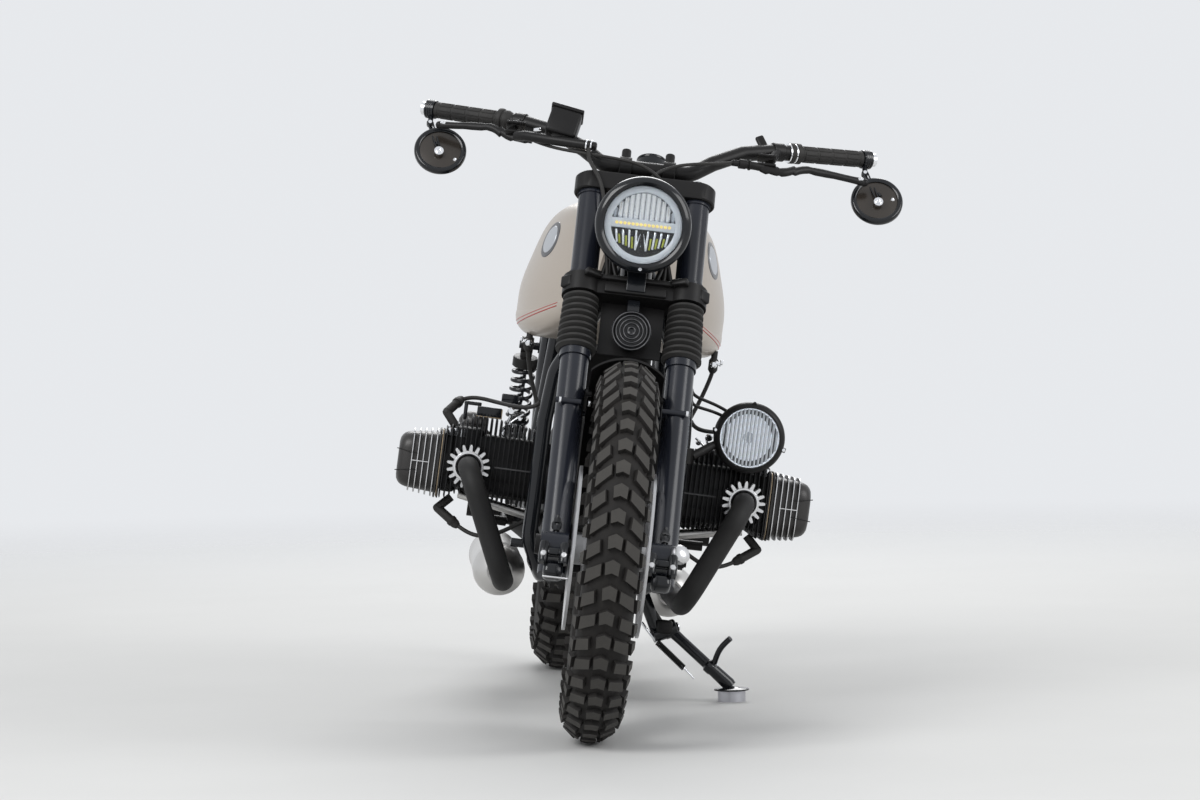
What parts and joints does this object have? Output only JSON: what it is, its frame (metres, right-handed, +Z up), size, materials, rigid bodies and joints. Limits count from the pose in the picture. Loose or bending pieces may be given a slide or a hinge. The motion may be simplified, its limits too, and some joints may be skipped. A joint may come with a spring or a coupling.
{
  "type": "bobber motorcycle",
  "caption": "Custom bobber motorcycle with a flat twin engine, knobbly tyres, telescopic fork with gaiters, round headlight and a spot lamp, leaning on its side stand.",
  "frame": {"origin": "on the ground, under the centre of the overall box", "axes": "+Z up, +Y from the front wheel to the rear wheel, +X to the rider's left, the side that the machine leans to"},
  "size_m": [0.9431, 2.1196, 1.1477],
  "materials": {
    "black_frame": "satin black enamel",
    "tank_paint": "satin champagne",
    "engine_black": "matt black heat paint",
    "bare_aluminium": "turned",
    "exhaust_black": "matt ceramic black",
    "satin_steel": "brushed",
    "slider_black": "gloss black",
    "lamp_black": "satin black",
    "lamp_glass": "clear fluted",
    "tail_red": "clear red",
    "rubber": "matt",
    "tyre": "matt knobbly",
    "wheel_metal": "satin",
    "seat_leather": "black leather"
  },
  "bodies": {
    "chassis": {"frame": "black_frame", "tank": "tank_paint", "fuel_cap": "lamp_black", "seat": "seat_leather", "rear_fender": "black_frame", "tail_light": "tail_red", "engine_block": "engine_black", "gearbox": "engine_black", "cylinder_right": "engine_black", "cylinder_left": "engine_black", "rocker_cover_right": "engine_black", "rocker_cover_left": "engine_black", "exhaust_nut_right": "bare_aluminium", "exhaust_nut_left": "bare_aluminium", "exhaust_pipe_right": "exhaust_black", "exhaust_pipe_left": "exhaust_black", "silencer_right": "satin_steel", "silencer_left": "satin_steel", "carburettor_right": "bare_aluminium", "carburettor_left": "bare_aluminium", "swingarm": "black_frame", "final_drive": "engine_black", "rear_axle": "black_frame", "shock_right": "lamp_black", "shock_left": "lamp_black", "battery_box": "black_frame", "foot_rest_right": "black_frame", "foot_rest_left": "black_frame", "spot_lamp": "lamp_black", "spot_lens": "lamp_glass"},
    "steering": {"lower_yoke": "black_frame", "top_yoke": "black_frame", "fork_tube_right": "slider_black", "fork_tube_left": "slider_black", "fork_slider_right": "slider_black", "fork_slider_left": "slider_black", "gaiter_right": "rubber", "gaiter_left": "rubber", "caliper_right": "slider_black", "caliper_left": "slider_black", "front_axle": "black_frame", "front_fender": "black_frame", "headlight": "lamp_black", "headlight_lens": "lamp_glass", "horn": "lamp_black", "handlebar": "black_frame", "grip_right": "rubber", "grip_left": "rubber", "brake_lever": "lamp_black", "clutch_lever": "lamp_black", "mirror_right": "lamp_black", "mirror_left": "lamp_black", "speedometer": "lamp_black"},
    "front_wheel": {"front_wheel": "wheel_metal", "front_tyre": "tyre"},
    "rear_wheel": {"rear_wheel": "wheel_metal", "rear_tyre": "tyre"},
    "side_stand": {"side_stand": "black_frame", "stand_puck": "bare_aluminium"}
  },
  "joints": [
    {"name": "steering", "type": "hinge", "parent": "chassis", "child": "steering", "pos_m": [-0.0247, -0.35971, 0.84807], "axis": [0.1314, 0.4772, 0.8689], "range_deg": [-31.1, 34.9]},
    {"name": "front_wheel_spin", "type": "hinge", "parent": "steering", "child": "front_wheel", "pos_m": [-0.10596, -0.73006, 0.3272], "axis": [0.9906, -0.0291, -0.1338], "continuous": true},
    {"name": "rear_wheel_spin", "type": "hinge", "parent": "chassis", "child": "rear_wheel", "pos_m": [-0.10428, 0.7349, 0.32191], "axis": [0.9888, 0, -0.1495], "continuous": true},
    {"name": "side_stand_fold", "type": "hinge", "parent": "chassis", "child": "side_stand", "pos_m": [0.03845, -0.0301, 0.13547], "axis": [0.9544, 0.133, 0.2672], "range_deg": [0, 93]}
  ]
}
